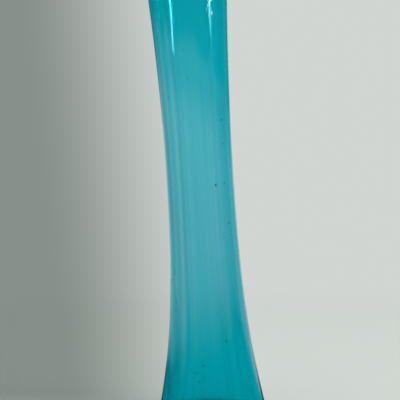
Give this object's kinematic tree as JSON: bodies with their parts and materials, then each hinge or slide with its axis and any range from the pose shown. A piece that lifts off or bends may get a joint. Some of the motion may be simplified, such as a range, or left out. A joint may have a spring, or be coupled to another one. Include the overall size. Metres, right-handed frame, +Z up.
{
  "type": "swung glass vase",
  "caption": "Tall swung vase of clear teal glass: thick flared foot, narrow leaning neck and a flared, unevenly pulled rim; hollow, open at the mouth.",
  "frame": {"origin": "centre of the ground flat foot, on the surface that the vase stands on", "axes": "+Z up along the vase, -X towards the side that the neck leans to"},
  "size_m": [0.1316, 0.102, 0.5],
  "materials": {
    "teal_glass": "clear, fire-polished"
  },
  "bodies": {
    "root": {"vase_body": "teal_glass"}
  },
  "joints": []
}
